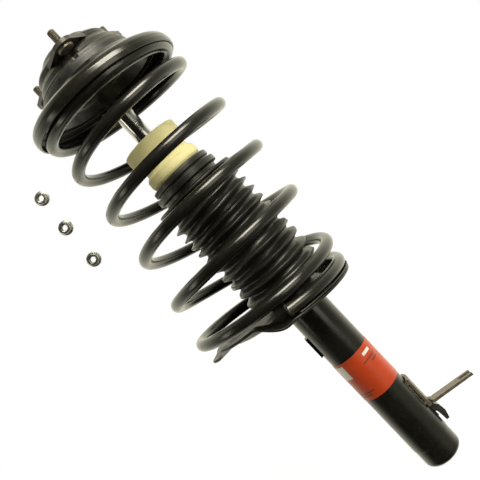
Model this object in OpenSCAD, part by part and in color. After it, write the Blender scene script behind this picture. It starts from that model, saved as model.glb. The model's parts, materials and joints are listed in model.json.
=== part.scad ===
// Front suspension strut assembly: twin-tube damper, leaning coil spring,
// spring seats, dust boot, bump stop, ball bearing and three-stud top mount.
// Millimetres, +Z up the damper's axis. +X is the hose bracket's side. Heights
// inside the modules count from the tube's closed lower end; the part's origin
// is the centre of the stretch that the knuckle clamps.

/* [Damper tube] */
// Diameter of the clamped lower end
tube_d = 45; // [44:0.5:46]
// Height at which the clamped end steps up to the tube's painted body
clamp_top = 24; // [20:1:24]
// Step in radius above the clamped end
tube_step = 0.6; // [0.5:0.1:0.7]
// Corner radius of the closed lower end
base_r = 6; // [4:0.5:8]
// Height of the tube's open upper edge
tube_h = 286; // [286:1:286]
// Inner diameter of the tube
tube_bore_d = 40; // [39.5:0.5:40]

/* [Rod and piston] */
// Diameter of the piston rod
rod_d = 20; // [20:1:20]
// Bore of the pressure tube
bore_d = 32; // [31:0.5:32]
// Radial running clearance of sliding parts
run_gap = 0.04; // [0.02:0.01:0.08]

/* [Spring] */
// Wire diameter of the coil spring
wire_d = 13; // [12.5:0.1:13.2]
// Number of turns from cut end to cut end
turns = 6.525; // [6.4:0.005:6.6]
// Mean radius of the lower turns
coil_r = 83; // [82:0.5:83.5]
// How much the mean radius shrinks towards the top
coil_taper = 5.5; // [4.5:0.5:6]
// Pitch of the active turns
coil_pitch = 57.5; // [56:0.5:58]
// Sides of the wire's cross-section
wire_sides = 12; // [8:1:16]
// Rings along each turn
wire_rings = 24; // [16:1:30]

/* [Label] */
// Lower edge of the label
label_z0 = 103; // [98:1:106]
// Upper edge of the label
label_z1 = 154; // [150:1:158]
// Arc that the label covers, in degrees
label_arc = 300; // [240:5:330]

/* [Hose bracket] */
// Reach of the arm from the tube's axis
arm_x = 80; // [76:1:84]
// Width of the arm
arm_w = 11.5; // [11:0.5:14]
// Thickness of the bracket's sheet
arm_t = 3; // [2.5:0.1:3.5]
// Width of the open slot
slot_w = 5; // [4.6:0.1:5.2]

/* [Top mount] */
// Pitch circle diameter of the studs
stud_pcd = 110; // [108:0.5:112]
// Stud diameter
stud_d = 8; // [8:1:8]
// Height of the studs' tips
stud_top = 587; // [584:1:589]
// Outer radius of the upper spring seat
seat_r = 88; // [87:0.5:88.5]
// Tilt of the upper seat's brim, in degrees
seat_tilt = 3.2; // [2.8:0.1:3.4]

/* [Hidden] */
$fn = 96;
tube_r = tube_d / 2;
origin_z = (base_r + clamp_top) / 2;
body_r = tube_r + tube_step;
rod_r = rod_d / 2;
bore_r = bore_d / 2;
wire_r = wire_d / 2;
stud_az = [273, 153, 33];          // directions of the studs about Z
nut_pos = [[-138, 88, 511], [-142, 88, 467], [-144, 88, 417.5]];
seat_cx = -24;                     // lower seat's centre
seat_t = 3;                        // lower seat's sheet
black = [0.035, 0.035, 0.038];
steel = [0.55, 0.54, 0.52];
rubber = [0.025, 0.025, 0.025];

// ---- shared curves -------------------------------------------------------

function clamp01(t) = min(1, max(0, t));
function smooth(t) = let (c = clamp01(t)) c * c * (3 - 2 * c);
// running integral of smooth() from a to b
function ramp(a, b, u) = let (t = clamp01((u - a) / (b - a)))
    (b - a) * (pow(t, 3) - pow(t, 4) / 2) + max(0, u - b);

// coil spring centreline; u counts turns from the lower cut end
coil_start = 276;
function coil_add(u) = 3.2 + 3.6 * (1 - smooth(u / 0.9)) - 3.2 * smooth((u - 3.5) / 1.7);
function coil_z(u) = 240 + coil_add(u) + 11 * u + (coil_pitch - 11) * ramp(0.45, 1.35, u)
    - (coil_pitch - 13.5) * ramp(5.24, 5.54, u);
function coil_tilt(u) = 0.17 - 0.05 * smooth((u - 1.2) / 0.9) - 0.062 * clamp01((u - 2) / 4);
function coil_lean(u) = 0.1 * exp(-pow((u - 2.4) / 1.1, 2));
function coil_x(z) = 1 - 0.00041 * pow(495 - min(z, 495), 2);
function coil_rad(z) = coil_r - coil_taper * pow(clamp01((z - 290) / 196), 2);
function coil_pt(u) = let (z = coil_z(u), a = coil_start + 360 * u, r = coil_rad(z))
    [coil_x(z) + r * cos(a), r * sin(a), z - r * (coil_tilt(u) * cos(a) + coil_lean(u) * sin(a))];
function unit(v) = v / norm(v);

// closed tube swept along points, n sides of radius r
module sweep(pts, r, n) {
    m = len(pts);
    tan = [for (i = [0:m - 1]) unit(pts[min(i + 1, m - 1)] - pts[max(i - 1, 0)])];
    ring = [for (i = [0:m - 1])
        let (b = unit(cross(tan[i], [0, 0, 1])), c = cross(b, tan[i]))
        for (j = [0:n - 1]) pts[i] + r * (cos(360 * j / n) * b + sin(360 * j / n) * c)];
    side = [for (i = [0:m - 2], j = [0:n - 1])
        [i * n + j, (i + 1) * n + j, (i + 1) * n + (j + 1) % n, i * n + (j + 1) % n]];
    polyhedron(ring, concat([[for (j = [0:n - 1]) j]], side,
        [[for (j = [n - 1:-1:0]) (m - 1) * n + j]]), convexity = 10);
}

// height of the lower seat's upper surface at direction p about its centre
function turn_of(p) = ((p - coil_start) % 360 + 360) % 360 / 360;
function track_z(p) = let (u = turn_of(p),
        under = coil_pt(u)[2] - wire_r - 2.1,
        high = 246.5 + 7 * smooth((((p % 360) + 360) % 360 - 192) / 16), start = coil_pt(0)[2] - wire_r - 2.1)
    u < 0.9 ? min(under, high) : high + (start - high) * smooth((u - 0.915) / 0.07);
function seat_in_z(x) = 240 - 0.09 * x;
function seat_z(x, y) = let (dx = x - seat_cx, d = norm([dx, y]), p = atan2(y, dx),
        w = smooth((d - 56) / 14))
    seat_in_z(x) * (1 - w) + track_z(p) * w;
// rim radius about the seat's centre, drawn in on the high side
function rim_r(p) = let (q = ((p % 360) + 360) % 360)
    87 - 9 * smooth((q - 150) / 40) * (1 - smooth((q - 246) / 20)) * (1 - smooth(1 - abs(q - 184) / 16));

// ---- root: damper tube and what is fixed to it ---------------------------

module strut_tube() color(black) difference() {
    union() {
        rotate_extrude() union() {
            translate([0, base_r]) square([tube_r, clamp_top - base_r]);
            square([tube_r - base_r, base_r + 1]);
            intersection() {
                translate([tube_r - base_r, base_r]) circle(base_r);
                square([tube_r, base_r + 1]);
            }
        }
        translate([0, 0, clamp_top]) cylinder(r = body_r, h = tube_h - clamp_top);
    }
    translate([0, 0, 5]) cylinder(d = tube_bore_d, h = tube_h);
}

// pressed tab that locates the tube's height and angle in its clamp
module key_tab() color(black) difference() {
    translate([0, 5, 0]) rotate([90, 0, 0]) linear_extrude(10)
        polygon([[22, 52], [27, 51.5], [31.5, 45], [32.5, 36], [30, 27], [26.5, 27],
                 [26, 34], [25.2, 41], [22, 44.5]]);
    translate([0, 0, 20]) cylinder(r = body_r, h = 40);
}

// welded foot, bend and slotted arm that holds a hose or cable clip
module hose_bracket() color([0.32, 0.29, 0.26]) difference() {
    union() {
        intersection() {
            translate([0, 0, 53]) difference() {
                cylinder(r = body_r + 4.2, h = 38);
                translate([0, 0, -1]) cylinder(r = body_r + 1.2, h = 40);
            }
            translate([10, -11, 53]) cube([20, 22, 38]);
        }
        // weld pads between the foot and the tube
        for (s = [-1, 1]) intersection() {
            translate([0, 0, 58]) difference() {
                cylinder(r = body_r + 1.4, h = 32);
                translate([0, 0, -1]) cylinder(r = body_r, h = 40);
            }
            translate([10, s > 0 ? 8 : -12, 58]) cube([20, 4, 32]);
        }
        translate([0, arm_w / 2, 0]) rotate([90, 0, 0]) linear_extrude(arm_w)
            polygon([[24.2, 61], [26.6, 61], [28.2, 55.2], [31, 53.2], [arm_x, 46.2],
                     [arm_x, 46.2 - arm_t], [30, 50], [26, 52], [24.2, 55]]);
    }
    translate([arm_x - 13, 0, 30]) cylinder(d = slot_w, h = 30);
    translate([arm_x - 13, -slot_w / 2, 30]) cube([20, slot_w, 30]);
}

// small curved plate for a wire clip, spot welded to the tube
module side_bracket() color([0.2, 0.19, 0.17]) difference() {
    translate([0, 0, 168]) cylinder(r = body_r + 2.4, h = 26);
    translate([0, 0, 150]) cylinder(r = body_r, h = 60);
    rotate([0, 0, -31]) translate([-19.5, -40, 150]) cube([80, 80, 60]);
    rotate([0, 0, -31]) translate([-30, 0, 181]) rotate([0, 90, 0]) cylinder(d = 6.5, h = 14);
}

module label() color([0.80, 0.19, 0.06])
    translate([0, 0, label_z0]) rotate([0, 0, 300 - label_arc / 2 - 30])
    rotate_extrude(angle = label_arc) translate([body_r, 0]) square([0.25, label_z1 - label_z0]);

// stamped dish whose floor rises along the spring's first turn
seat_na = 96;
seat_ts = [0, 0.3, 0.55, 0.7, 0.8, 0.87, 0.92, 0.96, 1];
function id(i, k) = (i % seat_na) * len(seat_ts) + k;
module lower_spring_seat() color(black) {
    na = seat_na;
    ts = seat_ts;
    nt = len(ts);
    r0 = 24.2;
    grid = [for (i = [0:na - 1], t = ts)
        let (p = 360 * i / na, rr = rim_r(p),
             ox = seat_cx + rr * cos(p), oy = rr * sin(p),
             ix = r0 * cos(p), iy = r0 * sin(p),
             x = ix + (ox - ix) * t, y = iy + (oy - iy) * t)
        [x, y, seat_z(x, y)]];
    low = [for (q = grid) [q[0], q[1], q[2] - seat_t]];
    n = na * nt;
    top = [for (i = [0:na - 1], k = [0:nt - 2]) each
        [[id(i, k), id(i + 1, k), id(i + 1, k + 1)], [id(i, k), id(i + 1, k + 1), id(i, k + 1)]]];
    bot = [for (i = [0:na - 1], k = [0:nt - 2]) each
        [[n + id(i, k), n + id(i + 1, k + 1), n + id(i + 1, k)], [n + id(i, k), n + id(i, k + 1), n + id(i + 1, k + 1)]]];
    rim = [for (i = [0:na - 1], k = [0, nt - 1]) each k == 0
        ? [[id(i, 0), n + id(i, 0), n + id(i + 1, 0)], [id(i, 0), n + id(i + 1, 0), id(i + 1, 0)]]
        : [[id(i, k), id(i + 1, k), n + id(i + 1, k)], [id(i, k), n + id(i + 1, k), n + id(i, k)]]];
    polyhedron(concat(grid, low), concat(top, bot, rim), convexity = 6);
    // drawn collar welded to the tube
    translate([0, 0, 227]) difference() {
        cylinder(r = body_r + 2.4, h = 25);
        translate([0, 0, -1]) cylinder(r = body_r, h = 27);
    }
}

// rubber strip under the spring's first half turn
function strip_row(u) = let (c = coil_pt(u), a = coil_start + 360 * u, z = c[2] - wire_r)
        [for (q = [[-5, -1.6], [5, -1.6], [5, -0.3], [-5, -0.3]])
            [c[0] + q[0] * cos(a), c[1] + q[0] * sin(a), z + q[1]]];
module lower_isolator() color(rubber) {
    m = 40;
    pts = [for (i = [0:m]) each strip_row(0.015 + 0.42 * i / m)];
    polyhedron(pts, concat([[0, 1, 2, 3]],
        [for (i = [0:m - 1], j = [0:3])
            [i * 4 + j, (i + 1) * 4 + j, (i + 1) * 4 + (j + 1) % 4, i * 4 + (j + 1) % 4]],
        [[m * 4 + 3, m * 4 + 2, m * 4 + 1, m * 4]]), convexity = 4);
}

module coil_spring() color(black) {
    m = round(turns * wire_rings);
    sweep([for (i = [0:m]) coil_pt(turns * i / m)], wire_r, wire_sides);
}

// bellows: neck, flange and eleven folds down to the cuff on the seat's collar
function fold_z(i) = 381 - 10.2 * i - 0.18 * i * i;
module dust_boot() color(rubber) {
    out = concat(
        [[35.6, 414], [35.6, 408.5], [33.5, 407.5], [33.5, 406], [38.3, 405], [38.3, 399], [34, 398],
         [34, 393], [48, 391.5], [48, 389], [36, 386.5]],
        [for (i = [0:10]) each [[47.5, fold_z(i) + 0.8], [47.5, fold_z(i) - 0.8],
                                [36, fold_z(i + 0.5)]]],
        [[36, 251], [29.5, 249], [29.5, 244]]);
    rotate_extrude() polygon(concat(out,
        [[25.8, 244], [25.8, 249.5], [33, 252.5]],
        [for (i = [10:-1:0]) each [[34, fold_z(i + 0.5)], [45.3, fold_z(i)]]],
        [[34, 386.8], [34, 388], [45.4, 390.2], [31.5, 391.8], [31.5, 398.6], [35.8, 402], [31.5, 405.5], [27.2, 407.5], [27.2, 414]]));
}

module pressure_tube() color(steel) translate([0, 0, 16]) difference() {
    cylinder(r = bore_r + 1.6, h = 252);
    translate([0, 0, -1]) cylinder(r = bore_r, h = 254);
}

module base_valve_body() color(steel) difference() {
    union() {
        translate([0, 0, 5]) cylinder(r = 17.6, h = 11);
        translate([0, 0, 16]) cylinder(r = bore_r, h = 6);
    }
    translate([0, 0, 4]) cylinder(r = 3, h = 20);
    for (a = [0:60:300]) rotate([0, 0, a]) translate([9, 0, 4]) cylinder(r = 1.6, h = 20);
    for (a = [0:90:270]) rotate([0, 0, a]) translate([10, -2.5, 4]) cube([10, 5, 5]);
}

module base_valve_disc() color(steel) translate([0, 0, 22]) difference() {
    cylinder(r = 12.5, h = 1.2);
    translate([0, 0, -1]) cylinder(r = 3, h = 4);
}

module base_valve_rivet() color(steel) {
    translate([0, 0, 6]) cylinder(r = 3, h = 18);
    translate([0, 0, 23.2]) cylinder(r = 5.5, h = 3);
}

module rod_guide() color(steel) difference() {
    union() {
        translate([0, 0, 268]) cylinder(d = tube_bore_d, h = 14);
        translate([0, 0, 262]) cylinder(r = bore_r, h = 6);
    }
    translate([0, 0, 261]) cylinder(r = 12, h = 22);
}

module guide_bush() color([0.5, 0.38, 0.22]) translate([0, 0, 262.4]) difference() {
    cylinder(r = 12, h = 19.2);
    translate([0, 0, -1]) cylinder(r = rod_r + run_gap, h = 22);
}

module rod_seal() color(rubber) translate([0, 0, 282]) difference() {
    cylinder(d = tube_bore_d, h = 4);
    translate([0, 0, -1]) cylinder(r = rod_r + run_gap, h = 6);
}

module tube_cap() color(steel) difference() {
    translate([0, 0, 270]) cylinder(r = body_r + 1.8, h = 20);
    translate([0, 0, 269]) cylinder(r = body_r, h = 17);
    translate([0, 0, 280]) cylinder(r = 11.5, h = 20);
}

// flange nut, axis along Z, flange at z = 0
module flange_nut(af, fr, h, bore) difference() {
    union() {
        cylinder(r = fr, h = 1.2);
        translate([0, 0, 1.2]) cylinder(r1 = fr, r2 = af / 2 + 0.2, h = 1.2);
        rotate([0, 0, 30]) cylinder(r = af / sqrt(3), h = h, $fn = 6);
    }
    translate([0, 0, -1]) cylinder(d = bore, h = h + 2);
}

module stud_nuts() color([0.72, 0.72, 0.70])
    for (i = [0:2]) translate(nut_pos[i]) rotate([0, 25 * i, 0]) rotate([90, 0, 0]) flange_nut(13, 9, 8, stud_d - 1);

// ---- upper seat: spring seat, isolator, lower race ------------------------

module upper_spring_seat() color(black) union() {
    // tilted brim and shelf over the spring's last turn
    translate([0, 0, 523]) rotate([0, seat_tilt, 0]) rotate_extrude() union() {
        polygon([[66, 8.8], [seat_r - 6, 8.8], [seat_r - 2.5, 4.5], [seat_r - 2.5, -5], [seat_r, -5],
                 [seat_r, 5.5], [seat_r - 4.8, 11.3], [66, 11.3]]);
    }
    // dome that carries the bearing
    rotate_extrude() polygon([[36, 540.5], [58, 540.5], [64.5, 529], [65.5, 527.5], [70, 527.5], [70, 538], [66, 538.5], [60, 543], [36, 543]]);
}

module upper_isolator() color(rubber) translate([0, 0, 523]) rotate([0, seat_tilt, 0])
    translate([0, 0, 7.3]) difference() {
        cylinder(r = 81.5, h = 1.3);
        translate([0, 0, -1]) cylinder(r = 71.5, h = 4);
    }

ball_r = 2.4;
ball_pcr = 44.5;
ball_z = 547.5;

module bearing_lower_race() color(steel) rotate_extrude() difference() {
    translate([37.5, 543]) square([14.5, 3.6]);
    translate([ball_pcr, ball_z]) circle(ball_r + 0.1, $fn = 48);
}

module bearing_cage() color([0.62, 0.55, 0.40]) difference() {
    rotate_extrude() translate([39.5, 546.9]) square([10, 1.2]);
    for (i = [0:19]) rotate([0, 0, 18 * i]) translate([ball_pcr, 0, 544]) cylinder(r = ball_r + 0.05, h = 6);
}

module bearing_balls() color([0.75, 0.75, 0.76])
    for (i = [0:19]) rotate([0, 0, 18 * i]) translate([ball_pcr, 0, ball_z]) sphere(ball_r, $fn = 48);

// ---- top mount: plate, rubber, rod and piston -----------------------------

module bearing_upper_race() color([0.06, 0.06, 0.065]) rotate_extrude() difference() {
    union() {
        translate([37.5, 548.4]) square([18.5, 4.1]);
        translate([54, 543.8]) square([2, 5]);
    }
    translate([ball_pcr, ball_z]) circle(ball_r + 0.1, $fn = 48);
}

// outline of the three-eared plate
module ear_outline(grow) {
    circle(r = 45 + grow);
    for (a = stud_az) rotate([0, 0, a]) {
        translate([stud_pcd / 2, 0]) circle(r = 12 + grow);
        polygon([[37, -(25 + grow)], [stud_pcd / 2 + 5, -(10.9 + grow)], [stud_pcd / 2 + 5, 10.9 + grow], [37, 25 + grow]]);
    }
}

module top_mount_plate() color([0.05, 0.05, 0.055]) difference() {
    union() {
        translate([0, 0, 567]) linear_extrude(4) ear_outline(0);
        // pressed rings under the plate, resting on the bearing
        rotate_extrude() polygon([[37.5, 552.5], [54, 552.5], [54, 555], [51.5, 557], [49.5, 562], [45, 567.5], [37.5, 567.5]]);
    }
    translate([0, 0, 545]) cylinder(r = 35, h = 40);
    for (a = stud_az) rotate([0, 0, a]) translate([stud_pcd / 2, 0, 550]) cylinder(d = stud_d + 1.2, h = 30);
    for (a = stud_az) rotate([0, 0, a]) translate([stud_pcd / 2, 0, 557]) cylinder(r = 8.6, h = 10);
}

// stepped cover that holds the rubber down
module mount_cover() color([0.05, 0.05, 0.055]) rotate_extrude()
    polygon([[35, 571], [44.3, 571], [44.3, 572.4], [42.3, 574.6], [38.5, 577], [33, 579.5], [29.5, 583.5], [27.5, 585], [18.5, 585],
             [18.5, 582.8], [26.4, 582.6], [30.8, 577.8], [35, 575.4]]);

module mount_rubber() color(rubber) rotate_extrude()
    polygon([[13, 551.5], [30, 551.5], [35, 554.5], [35, 575.4], [30.8, 577.8], [26.4, 582.6], [20, 582.6],
             [17.5, 574], [16, 566.5], [13, 566.5]]);

module mount_core() color(steel) translate([0, 0, 550.5]) difference() {
    cylinder(r = 13, h = 16.5);
    translate([0, 0, -1]) cylinder(r = 6, h = 22);
}

module mount_studs() color([0.45, 0.42, 0.37])
    for (a = stud_az) rotate([0, 0, a]) translate([stud_pcd / 2, 0, 0]) {
        translate([0, 0, 563.6]) cylinder(r = 8.5, h = 3.4);
        translate([0, 0, 566]) cylinder(d = stud_d + 1.2, h = 5);
        translate([0, 0, 570]) cylinder(d = stud_d, h = stud_top - 571);
        translate([0, 0, stud_top - 1]) cylinder(d1 = stud_d, d2 = stud_d - 2, h = 1);
    }

module piston_rod() color([0.80, 0.80, 0.82]) {
    translate([0, 0, 241.2]) cylinder(r = rod_r, h = 309.3);
    translate([0, 0, 210.5]) cylinder(r = 6, h = 31);
    translate([0, 0, 550]) cylinder(r = 6, h = 28);
}

module piston() color(steel) translate([0, 0, 222]) difference() {
    cylinder(r = 15.2, h = 18);
    translate([0, 0, -1]) cylinder(r = 6, h = 20);
    translate([0, 0, 5]) difference() {
        cylinder(r = 20, h = 8);
        translate([0, 0, -1]) cylinder(r = 13.6, h = 10);
    }
    for (a = [0:60:300]) rotate([0, 0, a]) translate([10, 0, -1]) cylinder(r = 1.6, h = 20);
}

module piston_ring() color([0.3, 0.28, 0.2]) translate([0, 0, 227.1]) difference() {
    cylinder(r = bore_r - run_gap, h = 7.8);
    translate([0, 0, -1]) cylinder(r = 13.7, h = 10);
}

module piston_shim() color(steel) translate([0, 0, 240]) difference() {
    cylinder(r = 12.8, h = 1.2);
    translate([0, 0, -1]) cylinder(r = 6, h = 4);
}

module piston_nut() color(steel) translate([0, 0, 212]) difference() {
    cylinder(r = 19 / sqrt(3), h = 10, $fn = 6);
    translate([0, 0, -1]) cylinder(r = 6, h = 12);
}

module rebound_stop() color([0.1, 0.1, 0.1]) translate([0, 0, 249]) difference() {
    cylinder(r = 14, h = 12.8);
    translate([0, 0, -1]) cylinder(r = rod_r, h = 15);
}

module rod_washer() color(steel) translate([0, 0, 567]) difference() {
    cylinder(r = 15, h = 2);
    translate([0, 0, -1]) cylinder(r = 6, h = 4);
}

module rod_nut() color([0.45, 0.42, 0.37]) translate([0, 0, 569]) difference() {
    cylinder(r = 18 / sqrt(3), h = 7, $fn = 6);
    translate([0, 0, -1]) cylinder(r = 6, h = 10);
}

// foam helper spring on the rod: head, waist, ring and tapered nose
module bump_stop() color([0.80, 0.76, 0.50]) rotate_extrude() difference() {
    union() {
        polygon([[rod_r + 0.15, 396], [20, 396], [22, 399], [23, 404], [25.5, 406], [26.5, 410], [26.5, 414],
                 [31, 420], [31, 427], [27, 430], [27, 439], [32.4, 442], [32.4, 457], [30, 459.5], [rod_r + 0.15, 459.5]]);
    }
    translate([0, 400]) square([rod_r + 0.15, 70]);
}

// shifts a piece from heights above the tube's lower end to the part's origin
module place() translate([0, 0, -origin_z]) children();

place() strut_tube();
place() key_tab();
place() hose_bracket();
place() side_bracket();
place() label();
place() lower_spring_seat();
place() lower_isolator();
place() coil_spring();
place() dust_boot();
place() pressure_tube();
place() base_valve_body();
place() base_valve_disc();
place() base_valve_rivet();
place() rod_guide();
place() guide_bush();
place() rod_seal();
place() tube_cap();
place() stud_nuts();
place() upper_spring_seat();
place() upper_isolator();
place() bearing_lower_race();
place() bearing_cage();
place() bearing_balls();
place() bearing_upper_race();
place() top_mount_plate();
place() mount_cover();
place() mount_rubber();
place() mount_core();
place() mount_studs();
place() piston_rod();
place() piston();
place() piston_ring();
place() piston_shim();
place() piston_nut();
place() rebound_stop();
place() rod_washer();
place() rod_nut();
place() bump_stop();
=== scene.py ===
import bpy, bmesh, json, math
import numpy as np
from mathutils import Vector, Matrix


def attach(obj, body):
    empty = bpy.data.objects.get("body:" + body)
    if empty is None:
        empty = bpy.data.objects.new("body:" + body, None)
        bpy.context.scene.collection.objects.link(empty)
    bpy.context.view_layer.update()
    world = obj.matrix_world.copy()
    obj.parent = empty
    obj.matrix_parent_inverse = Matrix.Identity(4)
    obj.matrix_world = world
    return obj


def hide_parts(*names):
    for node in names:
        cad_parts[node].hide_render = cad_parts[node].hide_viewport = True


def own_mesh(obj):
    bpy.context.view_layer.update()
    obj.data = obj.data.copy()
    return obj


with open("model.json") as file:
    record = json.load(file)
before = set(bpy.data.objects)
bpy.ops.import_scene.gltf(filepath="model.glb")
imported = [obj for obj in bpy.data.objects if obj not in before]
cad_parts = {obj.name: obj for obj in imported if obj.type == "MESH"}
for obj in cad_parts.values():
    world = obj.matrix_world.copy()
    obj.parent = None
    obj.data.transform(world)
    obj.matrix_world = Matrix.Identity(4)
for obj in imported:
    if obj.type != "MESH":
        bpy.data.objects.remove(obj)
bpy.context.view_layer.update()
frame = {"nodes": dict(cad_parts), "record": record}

MM = 0.001
OFF = -15.0  # heights below count from the tube's lower end
scene = bpy.context.scene
rng = np.random.default_rng(7)

# ---------------------------------------------------------------- helpers
def add_mesh(name, verts, faces, sharp=35.0, weighted=True):
    me = bpy.data.meshes.new(name)
    me.from_pydata([tuple(v) for v in (np.asarray(verts, float) + [0, 0, OFF]) * MM], [], [tuple(int(i) for i in f) for f in faces])
    me.validate()
    bm = bmesh.new(); bm.from_mesh(me)
    bmesh.ops.remove_doubles(bm, verts=bm.verts, dist=1e-7)
    bmesh.ops.recalc_face_normals(bm, faces=bm.faces)
    bm.to_mesh(me); bm.free()
    for p in me.polygons:
        p.use_smooth = True
    me.set_sharp_from_angle(angle=math.radians(sharp))
    ob = bpy.data.objects.new(name, me)
    scene.collection.objects.link(ob)
    if weighted:
        w = ob.modifiers.new("normals", 'WEIGHTED_NORMAL'); w.keep_sharp = True
    return ob


def fillet(pts, rad, n=4, closed=True):
    """Rounds the corners of a polyline; rad is one radius or one per corner."""
    pts = [np.array(p, float) for p in pts]
    m = len(pts)
    rads = rad if isinstance(rad, (list, tuple)) else [rad] * m
    out = []
    for i in range(m):
        p = pts[i]
        if not closed and i in (0, m - 1):
            out.append(p); continue
        a = pts[i - 1] - p; b = pts[(i + 1) % m] - p
        la, lb = np.linalg.norm(a), np.linalg.norm(b)
        if la < 1e-9 or lb < 1e-9 or rads[i] <= 0:
            out.append(p); continue
        a /= la; b /= lb
        ang = math.acos(max(-1, min(1, float(a @ b))))
        if ang > math.radians(176):
            out.append(p); continue
        t = min(rads[i] / math.tan(ang / 2), la * 0.48, lb * 0.48)
        r = t * math.tan(ang / 2)
        c = p + (a + b) / np.linalg.norm(a + b) * (r / math.sin(ang / 2))
        s0 = p + a * t - c; s1 = p + b * t - c
        a0 = math.atan2(s0[1], s0[0]); a1 = math.atan2(s1[1], s1[0])
        d = (a1 - a0 + math.pi) % (2 * math.pi) - math.pi
        for k in range(n + 1):
            q = a0 + d * k / n
            out.append(c + r * np.array([math.cos(q), math.sin(q)]))
    return out


def lathe(name, prof, seg=144, warp=None, sharp=35.0, arc=360.0, start=0.0):
    """Turns a closed profile of (radius, height) about Z."""
    prof = np.array([[max(p[0], 0.0), p[1]] for p in prof])
    n = len(prof)
    full = arc >= 359.9
    m = seg if full else seg + 1
    ang = np.radians(start + arc * np.arange(m) / seg)
    V = np.zeros((m, n, 3))
    V[:, :, 0] = np.cos(ang)[:, None] * prof[None, :, 0]
    V[:, :, 1] = np.sin(ang)[:, None] * prof[None, :, 0]
    V[:, :, 2] = prof[None, :, 1]
    if warp is not None:
        V = warp(V, ang)
    F = []
    for i in range(seg):
        i2 = (i + 1) % m
        for j in range(n):
            j2 = (j + 1) % n
            F.append((i * n + j, i2 * n + j, i2 * n + j2, i * n + j2))
    if not full:
        F.append(tuple(range(n))); F.append(tuple((m - 1) * n + j for j in range(n - 1, -1, -1)))
    return add_mesh(name, V.reshape(-1, 3), F, sharp)


def tube(name, pts, rad, sides=24, caps=0.6, sharp=40.0, rings=None):
    """Round bar along points, with slightly broken end edges."""
    P = np.asarray(pts, float)
    T = np.gradient(P, axis=0); T /= np.linalg.norm(T, axis=1)[:, None]
    up = np.array([0, 0, 1.0]) if np.abs(T[:, 2]).mean() < 0.9 else np.array([1.0, 0.13, 0])
    B = np.cross(T, up); B /= np.linalg.norm(B, axis=1)[:, None]
    Cc = np.cross(B, T)
    R = np.full(len(P), rad, float) if np.isscalar(rad) else np.asarray(rad, float)
    a = 2 * np.pi * np.arange(sides) / sides
    cs, sn = np.cos(a), np.sin(a)
    rows = []
    if caps:
        rows.append(P[0] + (R[0] - caps) * (cs[:, None] * B[0] + sn[:, None] * Cc[0]))
        rows.append(P[0] + T[0] * caps + R[0] * (cs[:, None] * B[0] + sn[:, None] * Cc[0]))
    lo = 1; hi = len(P) - 1
    for i in range(lo, hi):
        rows.append(P[i] + R[i] * (cs[:, None] * B[i] + sn[:, None] * Cc[i]))
    if caps:
        rows.append(P[-1] - T[-1] * caps + R[-1] * (cs[:, None] * B[-1] + sn[:, None] * Cc[-1]))
        rows.append(P[-1] + (R[-1] - caps) * (cs[:, None] * B[-1] + sn[:, None] * Cc[-1]))
    V = np.array(rows); m = len(rows)
    F = [(i * sides + j, (i + 1) * sides + j, (i + 1) * sides + (j + 1) % sides, i * sides + (j + 1) % sides)
         for i in range(m - 1) for j in range(sides)]
    V = V.reshape(-1, 3)
    V = np.vstack([V, rows[0].mean(0)[None], rows[-1].mean(0)[None]])
    c0, c1 = m * sides, m * sides + 1
    F += [(c0, j, (j + 1) % sides) for j in range(sides)]
    F += [(c1, (m - 1) * sides + (j + 1) % sides, (m - 1) * sides + j) for j in range(sides)]
    return add_mesh(name, V, F, sharp)


def grid_faces(nr, nc, off=0, flip=False):
    f = []
    for i in range(nr - 1):
        for j in range(nc):
            q = (off + i * nc + j, off + i * nc + (j + 1) % nc, off + (i + 1) * nc + (j + 1) % nc, off + (i + 1) * nc + j)
            f.append(q[::-1] if flip else q)
    return f


def smooth(t):
    t = np.clip(t, 0, 1)
    return t * t * (3 - 2 * t)


def ramp(a, b, u):
    t = np.clip((u - a) / (b - a), 0, 1)
    return (b - a) * (t ** 3 - t ** 4 / 2) + np.maximum(0, u - b)

# ---------------------------------------------------------------- materials
def node(nt, kind, **kw):
    n = nt.nodes.new(kind)
    for k, v in kw.items():
        setattr(n, k, v)
    return n


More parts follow.
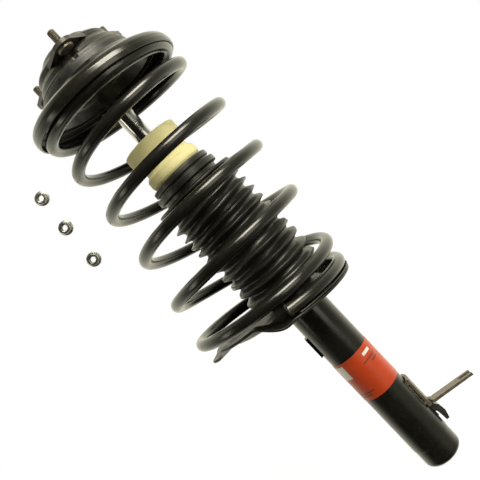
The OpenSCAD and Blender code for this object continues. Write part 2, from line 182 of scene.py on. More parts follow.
def material(name, lo, hi, metal=0.0, rough=(0.3, 0.45), blot=25.0, grain=900.0, bump=0.15, bump_d=0.0002,
             fine=0.0, coat=0.0, coat_rough=0.1, wear=None, wear_amt=0.0, dust=None, dust_amt=0.0, spec=0.5,
             brushed=None, ior=1.5):
    m = bpy.data.materials.new(name)
    m.use_nodes = True
    nt = m.node_tree
    nt.nodes.clear()
    L = nt.links.new
    out = node(nt, 'ShaderNodeOutputMaterial')
    bs = node(nt, 'ShaderNodeBsdfPrincipled')
    L(bs.outputs[0], out.inputs[0])
    bs.inputs['Metallic'].default_value = metal
    bs.inputs['Coat Weight'].default_value = coat
    bs.inputs['Coat Roughness'].default_value = coat_rough
    bs.inputs['Specular IOR Level'].default_value = spec
    bs.inputs['IOR'].default_value = ior
    tc = node(nt, 'ShaderNodeTexCoord')
    co = tc.outputs['Object']
    if brushed:
        mp = node(nt, 'ShaderNodeMapping')
        mp.inputs['Scale'].default_value = brushed
        L(co, mp.inputs['Vector'])
        gco = mp.outputs[0]
    else:
        gco = co
    n1 = node(nt, 'ShaderNodeTexNoise'); n1.inputs['Scale'].default_value = blot
    n1.inputs['Detail'].default_value = 6.0; n1.inputs['Roughness'].default_value = 0.6
    L(co, n1.inputs['Vector'])
    cr = node(nt, 'ShaderNodeValToRGB')
    cr.color_ramp.elements[0].position = 0.3; cr.color_ramp.elements[0].color = (*lo, 1)
    cr.color_ramp.elements[1].position = 0.7; cr.color_ramp.elements[1].color = (*hi, 1)
    L(n1.outputs['Fac'], cr.inputs[0])
    col = cr.outputs[0]
    n2 = node(nt, 'ShaderNodeTexNoise'); n2.inputs['Scale'].default_value = grain
    n2.inputs['Detail'].default_value = 4.0
    L(gco, n2.inputs['Vector'])
    n3 = node(nt, 'ShaderNodeTexNoise'); n3.inputs['Scale'].default_value = blot * 4.3
    n3.inputs['Detail'].default_value = 5.0
    L(gco, n3.inputs['Vector'])
    mr = node(nt, 'ShaderNodeMapRange')
    mr.inputs['From Min'].default_value = 0.3; mr.inputs['From Max'].default_value = 0.7
    mr.inputs['To Min'].default_value = rough[0]; mr.inputs['To Max'].default_value = rough[1]
    L(n3.outputs['Fac'], mr.inputs['Value'])
    L(mr.outputs[0], bs.inputs['Roughness'])
    if dust:
        n4 = node(nt, 'ShaderNodeTexNoise'); n4.inputs['Scale'].default_value = blot * 9
        n4.inputs['Detail'].default_value = 8.0; n4.inputs['Roughness'].default_value = 0.7
        L(co, n4.inputs['Vector'])
        dr = node(nt, 'ShaderNodeMapRange')
        dr.inputs['From Min'].default_value = 0.55; dr.inputs['From Max'].default_value = 0.75
        dr.inputs['To Min'].default_value = 0.0; dr.inputs['To Max'].default_value = dust_amt
        L(n4.outputs['Fac'], dr.inputs['Value'])
        mx = node(nt, 'ShaderNodeMix', data_type='RGBA')
        L(dr.outputs[0], mx.inputs[0]); L(col, mx.inputs[6]); mx.inputs[7].default_value = (*dust, 1)
        col = mx.outputs[2]
    if wear:
        ge = node(nt, 'ShaderNodeNewGeometry')
        wr = node(nt, 'ShaderNodeMapRange')
        wr.inputs['From Min'].default_value = 0.53; wr.inputs['From Max'].default_value = 0.60
        wr.inputs['To Min'].default_value = 0.0; wr.inputs['To Max'].default_value = wear_amt
        L(ge.outputs['Pointiness'], wr.inputs['Value'])
        mul = node(nt, 'ShaderNodeMath', operation='MULTIPLY')
        L(wr.outputs[0], mul.inputs[0]); L(n3.outputs['Fac'], mul.inputs[1])
        mx = node(nt, 'ShaderNodeMix', data_type='RGBA')
        L(mul.outputs[0], mx.inputs[0]); L(col, mx.inputs[6]); mx.inputs[7].default_value = (*wear, 1)
        col = mx.outputs[2]
    L(col, bs.inputs['Base Color'])
    bp = node(nt, 'ShaderNodeBump')
    bp.inputs['Strength'].default_value = bump
    bp.inputs['Distance'].default_value = bump_d
    L(n2.outputs['Fac'], bp.inputs['Height'])
    nrm = bp.outputs[0]
    if fine:
        vo = node(nt, 'ShaderNodeTexVoronoi'); vo.inputs['Scale'].default_value = fine
        L(co, vo.inputs['Vector'])
        b2 = node(nt, 'ShaderNodeBump')
        b2.inputs['Strength'].default_value = bump; b2.inputs['Distance'].default_value = bump_d
        L(vo.outputs['Distance'], b2.inputs['Height']); L(nrm, b2.inputs['Normal'])
        nrm = b2.outputs[0]
    L(nrm, bs.inputs['Normal'])
    return m


MAT = {
    "black_paint": material("black_paint_m", (0.006, 0.0058, 0.0045), (0.013, 0.0125, 0.010), rough=(0.17, 0.27), blot=30, grain=1100, bump=0.12,
                            bump_d=0.00015, wear=(0.10, 0.095, 0.085), wear_amt=0.5, dust=(0.05, 0.047, 0.042), dust_amt=0.35),
    "black_powder": material("black_powder_m", (0.006, 0.0058, 0.0048), (0.011, 0.0105, 0.0085), rough=(0.18, 0.27), blot=26, grain=700, bump=0.10,
                             bump_d=0.00018, dust=(0.035, 0.033, 0.03), dust_amt=0.30, wear=(0.2, 0.19, 0.17), wear_amt=0.4),
    "black_mount": material("black_mount_m", (0.008, 0.0075, 0.006), (0.019, 0.018, 0.015), spec=0.36, rough=(0.27, 0.42), blot=45, grain=1500, bump=0.25,
                            bump_d=0.0002, wear=(0.13, 0.12, 0.105), wear_amt=0.7, dust=(0.06, 0.055, 0.048), dust_amt=0.4),
    "plated_bracket": material("plated_bracket_m", (0.014, 0.0125, 0.011), (0.050, 0.042, 0.034), metal=0.35, rough=(0.30, 0.48), blot=60, grain=1400,
                               bump=0.2, wear=(0.32, 0.27, 0.22), wear_amt=0.8),
    "black_rubber": material("black_rubber_m", (0.008, 0.0078, 0.0062), (0.016, 0.0155, 0.0125), rough=(0.30, 0.46), blot=35, grain=2200, bump=0.2,
                             bump_d=0.00012, dust=(0.055, 0.052, 0.047), dust_amt=0.45, wear=(0.045, 0.042, 0.038), wear_amt=0.6),
    "bare_steel": material("bare_steel_m", (0.42, 0.41, 0.40), (0.56, 0.55, 0.54), metal=1.0, rough=(0.22, 0.38), blot=40, grain=500, bump=0.12,
                           brushed=(1, 1, 18)),
    "sintered_steel": material("sintered_steel_m", (0.20, 0.195, 0.19), (0.33, 0.32, 0.31), metal=0.8, rough=(0.45, 0.65), blot=60, grain=2600,
                               bump=0.5, fine=2500),
    "bronze_bush": material("bronze_bush_m", (0.36, 0.25, 0.13), (0.50, 0.37, 0.20), metal=0.9, rough=(0.3, 0.45), blot=60, grain=900, bump=0.15,
                            brushed=(1, 1, 14)),
    "zinc_nut": material("zinc_nut_m", (0.33, 0.335, 0.31), (0.50, 0.50, 0.465), metal=1.0, rough=(0.30, 0.44), blot=120, grain=2400, bump=0.2,
                         bump_d=0.00008, dust=(0.20, 0.195, 0.165), dust_amt=0.5),
    "cage_plastic": material("cage_plastic_m", (0.42, 0.36, 0.25), (0.56, 0.49, 0.35), rough=(0.4, 0.55), blot=50, grain=1800, bump=0.15),
    "ball_steel": material("ball_steel_m", (0.66, 0.66, 0.67), (0.76, 0.76, 0.77), metal=1.0, rough=(0.06, 0.12), blot=90, grain=1500, bump=0.02),
    "black_plastic": material("black_plastic_m", (0.012, 0.012, 0.013), (0.024, 0.024, 0.025), rough=(0.34, 0.5), blot=45, grain=2400, bump=0.2,
                              bump_d=0.0001, dust=(0.06, 0.055, 0.05), dust_amt=0.35),
    "zinc_stud": material("zinc_stud_m", (0.15, 0.13, 0.105), (0.30, 0.265, 0.22), metal=0.75, rough=(0.30, 0.48), blot=110, grain=2400, bump=0.2,
                          bump_d=0.0001, dust=(0.10, 0.085, 0.065), dust_amt=0.6),
    "chrome_rod": material("chrome_rod_m", (0.47, 0.47, 0.465), (0.54, 0.54, 0.53), metal=1.0, rough=(0.13, 0.20), blot=20, grain=800, bump=0.02,
                           brushed=(1, 1, 30)),
    "ring_plastic": material("ring_plastic_m", (0.22, 0.20, 0.14), (0.34, 0.31, 0.22), rough=(0.4, 0.5), blot=50, grain=1500, bump=0.15),
    "cream_foam": material("cream_foam_m", (0.56, 0.51, 0.25), (0.70, 0.65, 0.35), rough=(0.62, 0.85), blot=38, grain=1500, bump=0.55, bump_d=0.0003,
                           fine=1700, dust=(0.40, 0.36, 0.22), dust_amt=0.45),
    "label_film": material("label_film_m", (0.40, 0.040, 0.010), (0.48, 0.056, 0.014), rough=(0.30, 0.42), blot=26, grain=1400, bump=0.08,
                           dust=(0.34, 0.045, 0.014), dust_amt=0.4),
}

slot_of = {s["node"]: s["material_slot"] for s in frame["record"]["subparts"]}
for n, ob in frame["nodes"].items():
    o = ob if not isinstance(ob, str) else bpy.data.objects[ob]
    o.data.materials.clear()
    o.data.materials.append(MAT[slot_of[n]])

def done(ob, slot, body, *nodes, mat=None):
    ob.data.materials.clear()
    ob.data.materials.append(mat or MAT[slot])
    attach(ob, body)
    if nodes:
        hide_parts(*nodes)
    return ob

# ---------------------------------------------------------------- coil spring
TURNS, WIRE = 6.525, 6.5
def coil_add(u): return 3.2 + 3.6 * (1 - smooth(u / 0.9)) - 3.2 * smooth((u - 3.5) / 1.7)
def coil_z(u): return 240 + coil_add(u) + 11 * u + 46.5 * ramp(0.45, 1.35, u) - 44.0 * ramp(5.24, 5.54, u)
def coil_tilt(u): return 0.17 - 0.05 * smooth((u - 1.2) / 0.9) - 0.062 * np.clip((u - 2) / 4, 0, 1)
def coil_lean(u): return 0.1 * np.exp(-((u - 2.4) / 1.1) ** 2)
def coil_x(z): return 1 - 0.00041 * (495 - np.minimum(z, 495)) ** 2
def coil_rad(z): return 83 - 5.5 * np.clip((z - 290) / 196, 0, 1) ** 2
def coil_pt(u):
    u = np.atleast_1d(np.asarray(u, float))
    z = coil_z(u); a = np.radians(276 + 360 * u); r = coil_rad(z)
    return np.c_[coil_x(z) + r * np.cos(a), r * np.sin(a), z - r * (coil_tilt(u) * np.cos(a) + coil_lean(u) * np.sin(a))]

spring = tube("spring_wire", coil_pt(np.linspace(0, TURNS, int(TURNS * 72))), WIRE, sides=28, caps=0.7)
done(spring, "black_powder", "strut_body", "coil_spring")

# ---------------------------------------------------------------- dust boot
def fold_z(i): return 381 - 10.2 * i - 0.18 * i * i
boot = [(35.6, 414), (35.6, 408.3), (33.4, 407.6), (33.4, 405.8), (38.3, 405.2), (38.3, 398.6), (34, 397.8),
        (34, 393.2), (48, 391.6), (48, 389.2), (37, 387)]
rad = [1.4, 1.0, 0.5, 0.5, 1.2, 1.2, 0.6, 1.2, 0.9, 0.9, 2.2]
for i in range(11):
    w = 0.7 + 0.11 * i
    boot += [(47.2 - 0.05 * i, fold_z(i) + w), (47.4 - 0.05 * i, fold_z(i) - w), (36.4, fold_z(i + 0.5))]
    rad += [0.8 + 0.14 * i, 0.8 + 0.14 * i, 2.0 + 0.1 * i]
boot += [(36, 250.6), (29.5, 249), (29.5, 244), (25.8, 244), (25.8, 249.5), (31, 252.5)]
rad += [2, 1.5, 0.8, 0.6, 1.0, 1.5]
for i in range(10, -1, -1):
    boot += [(34.6, fold_z(i + 0.5)), (44.9, fold_z(i))]
    rad += [1.2, 1.0]
boot += [(34.4, 387), (34, 388.2), (45.4, 390.3), (31.8, 391.9), (31.8, 398.6), (35.8, 402), (31.2, 405.5), (27.2, 407.5), (27.2, 414)]
rad += [0.5, 0.5, 0.5, 0.5, 0.5, 0.5, 0.5, 0.5, 1.0]

def boot_warp(V, ang):
    z = V[:, :, 2]
    w = smooth((386 - z) / 20) * smooth((z - 250) / 16)
    a = ang[:, None]
    ph = z * 0.37
    k = 1 + w * (0.008 * np.sin(3 * a + ph) + 0.006 * np.sin(5 * a - 1.7 * ph) + 0.004 * np.sin(9 * a + 2.3 * ph))
    V[:, :, 0] *= k; V[:, :, 1] *= k
    V[:, :, 2] = z + w * (2.9 * np.cos(a) * smooth((z - 285) / 70) + 0.9 * np.sin(a + z * 0.09) + 0.5 * np.sin(2 * a + z * 0.5) + 0.25 * np.sin(7 * a + z))
    V[:, :, 0] += 2.6 * smooth((386 - z) / 90) * smooth((z - 246) / 20)
    return V

b = lathe("boot_bellows", fillet(boot, rad, 3), 168, boot_warp, sharp=60)
done(b, "black_rubber", "strut_body", "dust_boot")
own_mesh(b)
cut_steel = material("cut_steel_m", (0.42, 0.37, 0.26), (0.62, 0.56, 0.42), metal=0.3, rough=(0.45, 0.65), blot=260, grain=2600, bump=0.3,
                     dust=(0.22, 0.16, 0.09), dust_amt=0.6)
cuts = []
for nm, u0_, u1_ in (("spring_cut_end", TURNS, TURNS - 0.002),):
    q = coil_pt(np.array([u0_, u1_]))
    n_ = (q[0] - q[1]) / np.linalg.norm(q[0] - q[1])
    b_ = np.cross(n_, [0, 0, 1.0]); b_ /= np.linalg.norm(b_); c_ = np.cross(b_, n_)
    aa = 2 * np.pi * np.arange(36) / 36
    rows = []
    for rr_, hh_ in ((6.3, -3.3), (6.56, -3.1), (6.56, -0.5), (6.45, -0.15), (6.0, 0.04), (5.0, 0.10), (3.0, 0.11), (1.2, 0.09)):
        rows.append(q[0] + n_ * hh_ + rr_ * (np.cos(aa)[:, None] * b_ + np.sin(aa)[:, None] * c_))
    V = np.vstack(rows + [q[0][None] + n_ * -3.3, q[0][None] + n_ * 0.09]); m_ = len(rows)
    F = grid_faces(m_, 36) + [(m_ * 36, (j + 1) % 36, j) for j in range(36)] + [(m_ * 36 + 1, (m_ - 1) * 36 + j, (m_ - 1) * 36 + (j + 1) % 36) for j in range(36)]
    ob = add_mesh(nm, V, F, 40)
    done(ob, "black_powder", "strut_body", mat=cut_steel)
    cuts.append(ob)
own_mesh(spring)
for ob in cuts:
    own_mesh(ob)

# ---------------------------------------------------------------- bump stop
bs_prof = [(10.15, 396), (19, 396), (22, 399), (23, 404), (25.5, 406), (26.5, 410), (26.5, 414.2), (29.6, 415), (31.2, 417.6), (31.6, 420.5), (31.2, 426.4), (29.8, 428),
           (27, 430.5), (26.8, 438.5), (32.4, 441.5), (32.4, 459.5), (10.15, 459.5)]
o = lathe("foam_bump_stop", fillet(bs_prof, [0.3, 2, 2, 2, 2, 2, 1.0, 1.2, 2.0, 2.0, 1.2, 1.2, 1.6, 2.6, 1.8, 2.0, 0.3], 5), 128)
done(o, "cream_foam", "top_mount", "bump_stop")

# ---------------------------------------------------------------- damper tube
o = lathe("tube_shell", fillet([(0, 0), (22.5, 0), (22.5, 24), (23.1, 24.6), (23.1, 286), (20, 286), (20, 5), (0, 5)],
          [0, 6, 0.3, 0.3, 0.5, 0.5, 1.5, 0], 8), 160)
done(o, "black_paint", "strut_body", "strut_tube")


def bead(name, pts, r, slot, body, seed=1, noise=0.28):
    """A weld bead: a bar with the ripple that a welding torch leaves."""
    P = np.asarray(pts, float)
    d = np.r_[0, np.cumsum(np.linalg.norm(np.diff(P, axis=0), axis=1))]
    R = r * (1 + noise * 0.5 * np.abs(np.sin(d * 1.9 + seed)) + noise * 0.4 * np.sin(d * 0.7 + 2 * seed))
    ends = np.minimum(d, d[-1] - d)
    R = R * np.clip(0.35 + ends / 2.5, 0, 1)
    ob = tube(name, P, R, sides=14, caps=0.0, sharp=80)
    return done(ob, slot, body)


def arc_pts(r, z, a0, a1, n):
    a = np.radians(np.linspace(a0, a1, n))
    return np.c_[r * np.cos(a), r * np.sin(a), np.full(n, z)]

# ---------------------------------------------------------------- lower seat
SCX = -24.0
# A darker copy of the black paint for the lower seat. Its lower specular and higher roughness are finish. Its darker
# base and dust colours are painted shade, where the coil shades the seat.
shaded_seat_paint = material("shaded_seat_m", (0.005, 0.0048, 0.0038), (0.011, 0.0105, 0.0085), rough=(0.30, 0.44), spec=0.27, blot=34, grain=1300, bump=0.16,
                      bump_d=0.00018, wear=(0.10, 0.095, 0.075), wear_amt=0.6, dust=(0.028, 0.026, 0.021), dust_amt=0.35)
def turn_of(p): return ((p - 276) % 360) / 360
def track_z(p):
    u = turn_of(p)
    under = coil_pt(u)[:, 2] - WIRE - 2.1
    start = coil_pt(0)[0, 2] - WIRE - 2.1
    high = 246.5 + 7 * smooth((p % 360 - 192) / 16)
    return np.where(u < 0.9, np.minimum(under, high), high + (start - high) * smooth((u - 0.915) / 0.07))
def rim_r(p):
    q = p % 360
    return 87 - 9 * smooth((q - 150) / 40) * (1 - smooth((q - 246) / 20)) * (1 - smooth(1 - np.abs(q - 184) / 16))
def seat_z(x, y):
    dx = x - SCX; d = np.hypot(dx, y); p = np.degrees(np.arctan2(y, dx))
    w_ = smooth((d - 56) / 14)
    return (240 - 0.09 * x) * (1 - w_) + track_z(p) * w_

na = 240
ts = np.r_[np.linspace(0, 0.9, 26), np.linspace(0.92, 1, 6)]
P = np.radians(360 * np.arange(na) / na)
Rr = rim_r(np.degrees(P))
ox, oy = SCX + (Rr - 1.2) * np.cos(P), (Rr - 1.2) * np.sin(P)
ix, iy = 24.2 * np.cos(P), 24.2 * np.sin(P)
rows = []
for t in ts:
    x = ix + (ox - ix) * t; y = iy + (oy - iy) * t
    rows.append(np.c_[x, y, seat_z(x, y)])
top_rows = rows
ex_, ey_ = np.cos(P), np.sin(P)
edge = []
zt = top_rows[-1][:, 2]
for q in np.linspace(80, -80, 7):
    c, sn = math.cos(math.radians(q)), math.sin(math.radians(q))
    edge.append(np.c_[top_rows[-1][:, 0] + 1.2 * c * ex_, top_rows[-1][:, 1] + 1.2 * c * ey_, zt - 1.5 + 1.5 * sn])
bot_rows = [r - [0, 0, 3.0] for r in top_rows[::-1]]
allr = top_rows + edge + bot_rows
V = np.stack(allr, 1)            # angle, station, xyz
nst = V.shape[1]
F = [(i * nst + j, ((i + 1) % na) * nst + j, ((i + 1) % na) * nst + (j + 1) % nst, i * nst + (j + 1) % nst)
     for i in range(na) for j in range(nst)]
o = add_mesh("seat_dish", V.reshape(-1, 3), F, 50)
done(o, "black_paint", "strut_body", "lower_spring_seat", mat=shaded_seat_paint)
o = lathe("seat_collar", fillet([(23.12, 227), (25.5, 227), (25.5, 252), (23.12, 252)], [0.2, 1.0, 1.0, 0.3], 4), 96)
done(o, "black_paint", "strut_body")
bead("seat_weld", arc_pts(24.2, 227.2, 0, 352, 180), 1.7, "black_paint", "strut_body", 3)

# ---------------------------------------------------------------- upper seat
TILT = math.tan(math.radians(3.2))
def brim_warp(V, ang):
    r = np.hypot(V[:, :, 0], V[:, :, 1])
    V[:, :, 2] -= V[:, :, 0] * TILT * smooth((r - 61) / 8)
    return V
sp = [(36, 543), (51, 543), (52.5, 544.2), (56, 544.2), (60, 543), (66, 536.8), (68.5, 534.6), (73, 534.3), (74.2, 535.2), (77, 535.2), (78.2, 534.3),
      (81, 534.0), (85.4, 531.2), (87.6, 526.8), (88, 522.2), (87.0, 518), (84.9, 518), (85.5, 522), (84.9, 527.8), (82, 531.8), (66.2, 531.8), (64.5, 533.5), (58, 540.5), (55, 540.5), (53.6, 538.2), (51.2, 538.2), (49.8, 540.5), (43.4, 540.5), (42, 536.4), (38.4, 536.4), (36.6, 538.4), (36, 540.0)]
o = lathe("upper_seat_shell", fillet(sp, [0.8, 1.0, 1.0, 1.0, 2.2, 2.2, 2.0, 1.0, 0.8, 0.8, 1.0, 5.0, 6.0, 6.0, 6.0, 1.1, 0.9, 4.0, 3.0, 3.0, 1.5, 2.0, 1.8, 0.8, 0.8, 0.8, 0.8, 0.8, 0.9, 0.9, 0.7, 0.6], 6), 192, brim_warp)
done(o, "black_paint", "upper_seat", "upper_spring_seat")

# ---------------------------------------------------------------- mount
o = lathe("bearing_cover_ring", fillet([(37.5, 548.4), (41.5, 548.4), (54, 548.4), (54, 543.8), (56, 543.8), (56, 549.5), (55.2, 552.5), (37.5, 552.5)],
          [0.3, 0.3, 0.6, 0.4, 0.6, 0.8, 1.0, 0.3], 4), 144)
done(o, "black_plastic", "top_mount", "bearing_upper_race")
cov = [(35, 571), (44.3, 571), (44.3, 572.4), (42.3, 574.6), (38.5, 577), (33, 579.5), (29.5, 583.5), (27.5, 585), (18.5, 585),
       (18.5, 582.8), (26.4, 582.6), (30.8, 577.8), (35, 575.4)]
def cover_warp(V, ang):
    # three shallow pressed ribs between the studs
    r = np.hypot(V[:, :, 0], V[:, :, 1]); z = V[:, :, 2]
    k = 0
    for c in (213, 333, 93):
        d = (np.degrees(ang) - c + 180) % 360 - 180
        k = k + np.exp(-(d / 7.0) ** 2)
    lift = 0.9 * k[:, None] * smooth((r - 30) / 4) * smooth((44.5 - r) / 3) * smooth((z - 575.5) / 2)
    V[:, :, 2] -= lift
    return V
o = lathe("mount_dome", fillet(cov, [0.3, 0.7, 0.7, 1.2, 1.2, 1.6, 1.4, 0.9, 0.6, 0.6, 0.8, 0.8, 0.5], 4), 180, cover_warp)
done(o, "black_mount", "top_mount", "mount_cover")


def thread(name, r, z0, z1, pitch=1.25, depth=0.62, seg=48, base=None, cham=1.0, n_per=9, shift=(0, 0), inside=False):
    """A threaded bar: the surface follows the helix of the thread."""
    nz = int((z1 - z0) / pitch * n_per)
    zs = np.linspace(z0, z1, nz + 1)
    a = 2 * np.pi * np.arange(seg) / seg
    Z, A = np.meshgrid(zs, a, indexing='ij')
    ph_ = (Z / pitch - A / (2 * np.pi)) % 1.0
    tri = np.clip(np.abs(ph_ - 0.5) * 2 * 1.25 - 0.12, 0, 1)
    if inside:
        R = r + depth * tri
        return np.stack([R * np.cos(A), R * np.sin(A), Z], -1)
    R = r - depth * tri
    lead = np.clip((Z - z0) / (1.5 * pitch), 0, 1)
    R = R * lead + (r - depth * 0.0) * (1 - lead)
    R = np.minimum(R, r - np.clip(Z - (z1 - cham), 0, cham))
    return np.stack([R * np.cos(A), R * np.sin(A), Z], -1)


for i, az in enumerate((273, 153, 33)):
    g = thread("stud", 4.0, 572.0, 587.0, seg=48)
    rows = [g[k] for k in range(g.shape[0])]
    a = 2 * np.pi * np.arange(48) / 48
    def ring(r, z): return np.c_[r * np.cos(a), r * np.sin(a), np.full(48, z)]
    # round neck inside the ear and the round head below it
    ks = 4.6 + 0.0 * a
    pre = [ring(3.4, 563.05), ring(7.4, 563.3), ring(8.2, 563.7), ring(8.5, 564.3), ring(8.5, 566.3), ring(8.2, 566.9), ring(4.6, 567.0), ring(4.6, 570.9), ring(4.0, 571.2)]
    rows = pre + rows
    V = np.vstack(rows); nr = len(rows)
    F = grid_faces(nr, 48)
    V = np.vstack([V, [[0, 0, 563.0]], [[0, 0, 587.0]]])
    F += [(nr * 48, (j + 1) % 48, j) for j in range(48)]
    F += [(nr * 48 + 1, (nr - 1) * 48 + j, (nr - 1) * 48 + (j + 1) % 48) for j in range(48)]
    t = math.radians(az)
    V = V + [55 * math.cos(t), 55 * math.sin(t), 0]
    o = add_mesh("stud_%d" % (i + 1), V, F, 40)
    if i == 0:
        done(o, "zinc_stud", "top_mount", "mount_studs")
    else:
        done(o, "zinc_stud", "top_mount")


def nut(name, af, fr, h, bore, pos, spin, slot, body, *nodes, to_y=True, flange=True, pitch=1.25):
    seg = 96
    a = 2 * np.pi * np.arange(seg) / seg
    hexr = af / 2 / np.cos((a + math.radians(30)) % math.radians(60) - math.radians(30))
    rows = []
    def add(z, rf, hx=True, ch=99.0):
        r = np.maximum(rf, np.minimum(hexr, ch)) if hx else np.full(seg, rf)
        rows.append(np.c_[r * np.cos(a), r * np.sin(a), np.full(seg, z)])
    cr = af / math.sqrt(3)
    if flange:
        for z, rf in ((0, fr - 0.5), (0.15, fr - 0.15), (0.5, fr), (1.0, fr), (1.35, fr - 0.2)):
            add(z, rf, False)
        for z, rf in ((1.7, fr - 0.9), (2.1, fr - 1.8), (2.5, af / 2 + 0.25), (3.0, 0)):
            add(z, rf)
    else:
        add(0, 0, True, cr - 0.9); add(0.4, 0, True, cr - 0.25); add(0.8, 0)
    for z, ch in ((h - 1.15, cr), (h - 0.8, cr - 0.2), (h - 0.4, cr - 0.65), (h - 0.1, af / 2 - 0.05), (h, af / 2 - 0.35)):
        add(z, 0, True, ch)
    add(h, bore + 0.75, False); add(h - 0.5, bore + 0.2, False)
    g = thread("n", bore - 0.45, 0.6, h - 0.6, pitch=pitch, depth=0.5, seg=seg, inside=True)
    rows += [g[k] for k in range(g.shape[0] - 1, -1, -1)]
    add(0.2, bore + 0.35, False); add(0.0, bore + 0.8, False)
    V = np.vstack(rows); nr = len(rows)
    F = grid_faces(nr, seg) + [((nr - 1) * seg + j, (nr - 1) * seg + (j + 1) % seg, (j + 1) % seg, j) for j in range(seg)]
    if to_y:
        V = np.c_[V[:, 0], -V[:, 2], V[:, 1]]
        c, sn = math.cos(math.radians(spin)), math.sin(math.radians(spin))
        V = np.c_[V[:, 0] * c + V[:, 2] * sn, V[:, 1], -V[:, 0] * sn + V[:, 2] * c]
    o = add_mesh(name, V + np.array(pos, float), F, 32)
    return done(o, slot, body, *nodes)


for i, ps in enumerate(((-138, 88, 511), (-142, 88, 467), (-144, 88, 417.5))):
    nut("flange_nut_%d" % (i + 1), 13, 9, 8, 4.0, ps, 25 * i, "zinc_nut", "strut_body", *(("stud_nuts",) if i == 0 else ()))
nut("rod_end_nut", 18, 0, 7, 6.0, (0, 0, 569), 0, "zinc_stud", "top_mount", "rod_nut", to_y=False, flange=False, pitch=1.5)

# ---------------------------------------------------------------- label
def arc_plate(name, r, t, a0, a1, z0, z1, slot, mat=None, nodes=(), seg=None):
    seg = seg or max(6, int((a1 - a0) / 2))
    o = lathe(name, fillet([(r, z0), (r + t, z0), (r + t, z1), (r, z1)], [0, t * 0.45, t * 0.45, 0], 2), seg, arc=a1 - a0, start=a0, sharp=50)
    return done(o, slot, "strut_body", *nodes, mat=mat)

white_film = material("white_film_m", (0.62, 0.61, 0.58), (0.74, 0.73, 0.70), rough=(0.28, 0.4), blot=60, grain=1400, bump=0.05)
dark_film = material("dark_film_m", (0.10, 0.025, 0.012), (0.16, 0.035, 0.016), rough=(0.35, 0.5), blot=60, grain=1400, bump=0.05)
arc_plate("label_wrap", 23.1, 0.25, 120, 420, 103, 154, "label_film", nodes=("label",), seg=150)
arc_plate("label_blank", 23.35, 0.06, 197, 226, 133.5, 151, "label_film", mat=white_film)
arc_plate("label_bar_a", 23.35, 0.05, 290, 318, 145, 148.5, "label_film", mat=white_film)
arc_plate("label_bar_b", 23.35, 0.05, 276, 322, 139, 140.6, "label_film", mat=dark_film)
arc_plate("label_bar_c", 23.35, 0.05, 300, 322, 134.5, 136.1, "label_film", mat=dark_film)
arc_plate("label_bar_d", 23.35, 0.05, 205, 238, 108, 109.6, "label_film", mat=dark_film)
arc_plate("label_bar_e", 23.35, 0.05, 205, 250, 111.5, 113.1, "label_film", mat=dark_film)

# ---------------------------------------------------------------- rubber parts
us_ = np.linspace(0.015, 0.435, 90)
cp = coil_pt(us_)
aa_ = np.radians(276 + 360 * us_)
sec = np.array(fillet([(-5, -1.6), (5, -1.6), (5, -0.3), (-5, -0.3)], 0.5, 3))
ns = len(sec)
V = np.stack([np.c_[cp[:, 0] + q[0] * np.cos(aa_), cp[:, 1] + q[0] * np.sin(aa_), cp[:, 2] - WIRE + q[1]] for q in sec], 1)
F = [(i * ns + j, (i + 1) * ns + j, (i + 1) * ns + (j + 1) % ns, i * ns + (j + 1) % ns) for i in range(len(us_) - 1) for j in range(ns)]
F += [tuple(range(ns)), tuple((len(us_) - 1) * ns + j for j in range(ns - 1, -1, -1))]
done(add_mesh("seat_rubber_strip", V.reshape(-1, 3), F, 50), "black_rubber", "strut_body", "lower_isolator")
o = lathe("mount_rubber_body", fillet([(13, 551.5), (30, 551.5), (35, 554.5), (35, 575.4), (30.8, 577.8), (26.4, 582.6), (20, 582.6), (17.5, 574), (16, 566.5), (13, 566.5)],
                                      [0.2, 1.5, 1.2, 0.2, 0.5, 0.5, 1.2, 1.5, 1, 0.3], 5), 144)
done(o, "black_rubber", "top_mount", "mount_rubber")
o = lathe("upper_rubber_ring", fillet([(71.5, 530.3), (81.5, 530.3), (81.5, 531.6), (71.5, 531.6)], 0.45, 3), 160, brim_warp)
done(o, "black_rubber", "upper_seat", "upper_isolator")

# ---------------------------------------------------------------- edges of the CAD pieces that stay
def node_ob(n):
    v = frame["nodes"][n]
    return bpy.data.objects[v] if isinstance(v, str) else v

for n, w_ in (("top_mount_plate", 0.5), ("hose_bracket", 0.5), ("key_tab", 0.8), ("side_bracket", 0.4), ("mount_core", 0.4),
              ("rod_washer", 0.3), ("tube_cap", 1.2), ("piston_rod", 0.6), ("piston", 0.3), ("piston_nut", 0.4), ("rebound_stop", 0.8),
              ("bearing_lower_race", 0.2)):
    ob = node_ob(n)
    bv = ob.modifiers.new("edge", 'BEVEL'); bv.width = w_ * MM; bv.segments = 3; bv.limit_method = 'ANGLE'; bv.angle_limit = math.radians(32)
    bv.harden_normals = False
    wn = ob.modifiers.new("normals", 'WEIGHTED_NORMAL'); wn.keep_sharp = True

# weld beads at the brackets
for sg in (-1, 1):
    t = math.radians(27 * sg)
    z = np.linspace(60, 88, 60)
    bead("bracket_weld_%s" % ("a" if sg < 0 else "b"), np.c_[np.full(60, 24.0 * math.cos(t)), np.full(60, 24.0 * math.sin(t)), z], 1.2, "black_paint", "strut_body", 2 + sg)
    z = np.linspace(28.5, 43, 40)
    t = math.radians(13.5 * sg)
    bead("tab_weld_%s" % ("a" if sg < 0 else "b"), np.c_[np.full(40, 23.4 * math.cos(t)), np.full(40, 23.4 * math.sin(t)), z + 8], 1.0, "black_paint", "strut_body", 5 + sg)

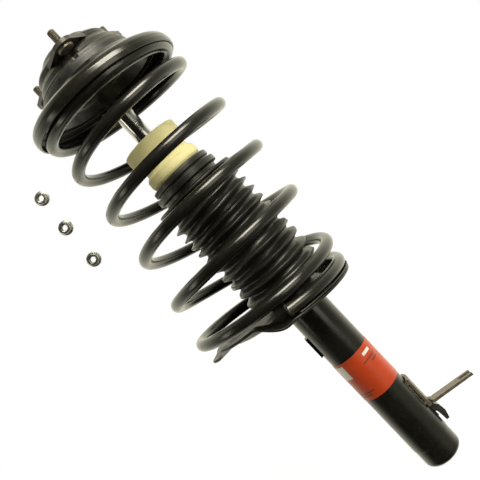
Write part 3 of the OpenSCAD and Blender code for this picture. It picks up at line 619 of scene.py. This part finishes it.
# ---------------------------------------------------------------- stage, light, camera
F_PX = 600.0
ph = math.radians(3.0)
fwd = Vector((0, math.cos(ph), -math.sin(ph)))
u0 = Vector((0, math.sin(ph), math.cos(ph)))
ex = Vector((1, 0, 0))
a = math.radians(46.5)
right = ex * math.sin(a) - u0 * math.cos(a)
up = ex * math.cos(a) + u0 * math.sin(a)
cam = bpy.data.cameras.new("camera"); co = bpy.data.objects.new("camera", cam)
scene.collection.objects.link(co); scene.camera = co
cam.sensor_fit = 'HORIZONTAL'; cam.sensor_width = 36.0; cam.lens = 36.0 * F_PX / 480
cam.clip_start = 0.01; cam.clip_end = 50
loc = Vector((-2.18, -630.7, 352.0 + OFF)) * MM
m = Matrix((right, up, -fwd)).transposed().to_4x4(); m.translation = loc
co.matrix_world = m

w = bpy.data.worlds.new("studio"); scene.world = w; w.use_nodes = True
nt = w.node_tree; nt.nodes.clear(); L = nt.links.new
wo = node(nt, 'ShaderNodeOutputWorld'); bg = node(nt, 'ShaderNodeBackground'); bg2 = node(nt, 'ShaderNodeBackground')
mixs = node(nt, 'ShaderNodeMixShader'); lp = node(nt, 'ShaderNodeLightPath')
tc = node(nt, 'ShaderNodeTexCoord'); sx = node(nt, 'ShaderNodeSeparateXYZ'); L(tc.outputs['Generated'], sx.inputs[0])
mr = node(nt, 'ShaderNodeMapRange'); mr.interpolation_type = 'SMOOTHSTEP'
mr.inputs['From Min'].default_value = -0.30; mr.inputs['From Max'].default_value = 0.55
mr.inputs['To Min'].default_value = 0.016; mr.inputs['To Max'].default_value = 1.3
L(sx.outputs['Y'], mr.inputs['Value'])
m2 = node(nt, 'ShaderNodeMapRange'); m2.interpolation_type = 'SMOOTHSTEP'
m2.inputs['From Min'].default_value = 0.05; m2.inputs['From Max'].default_value = 0.7
m2.inputs['To Min'].default_value = 0.0; m2.inputs['To Max'].default_value = 0.34
L(sx.outputs['X'], m2.inputs['Value'])
ad = node(nt, 'ShaderNodeMath', operation='ADD'); L(mr.outputs[0], ad.inputs[0]); L(m2.outputs[0], ad.inputs[1])
L(ad.outputs[0], bg.inputs['Strength']); bg.inputs['Color'].default_value = (1.0, 0.97, 0.78, 1)
bg2.inputs['Color'].default_value = (1, 1, 1, 1); bg2.inputs['Strength'].default_value = 1.0
L(lp.outputs['Is Camera Ray'], mixs.inputs[0]); L(bg.outputs[0], mixs.inputs[1]); L(bg2.outputs[0], mixs.inputs[2])
L(mixs.outputs[0], wo.inputs[0])

def area(name, loc, target, size, power, size_y=None):
    l = bpy.data.lights.new(name, 'AREA'); l.energy = power; l.color = (1.0, 0.955, 0.79); l.shape = 'RECTANGLE'; l.size = size; l.size_y = size_y or size
    o = bpy.data.objects.new(name, l); scene.collection.objects.link(o)
    o.location = Vector(loc)
    o.rotation_euler = (Vector(target) - Vector(loc)).to_track_quat('-Z', 'Y').to_euler()
    return o
area("key", (0.60, -0.85, 1.20), (0, 0, 0.35), 0.75, 30, 0.65)
area("side", (0.63, -1.09, 0.28), (0, 0, 0.28), 0.55, 3.4, 0.8)
area("fill", (-1.1, -0.35, 0.40), (0, 0, 0.33), 0.2, 2.0, 0.9)

fl = bpy.data.meshes.new("floor_m")
fl.from_pydata([(-6, -6, OFF * MM - 0.0004), (6, -6, OFF * MM - 0.0004), (6, 6, OFF * MM - 0.0004), (-6, 6, OFF * MM - 0.0004)], [], [(0, 1, 2, 3)])
flo = bpy.data.objects.new("floor", fl); scene.collection.objects.link(flo)
fm = bpy.data.materials.new("floor_white"); fm.use_nodes = True
fb = fm.node_tree.nodes['Principled BSDF']
fb.inputs['Base Color'].default_value = (0.10, 0.10, 0.10, 1); fb.inputs['Roughness'].default_value = 0.9
fb.inputs['Emission Color'].default_value = (1, 1, 1, 1); fb.inputs['Emission Strength'].default_value = 0.93
fb.inputs['Specular IOR Level'].default_value = 0.1
fl.materials.append(fm)
flo.visible_diffuse = False; flo.visible_glossy = False; flo.visible_shadow = False
scene.view_settings.view_transform = 'Standard'
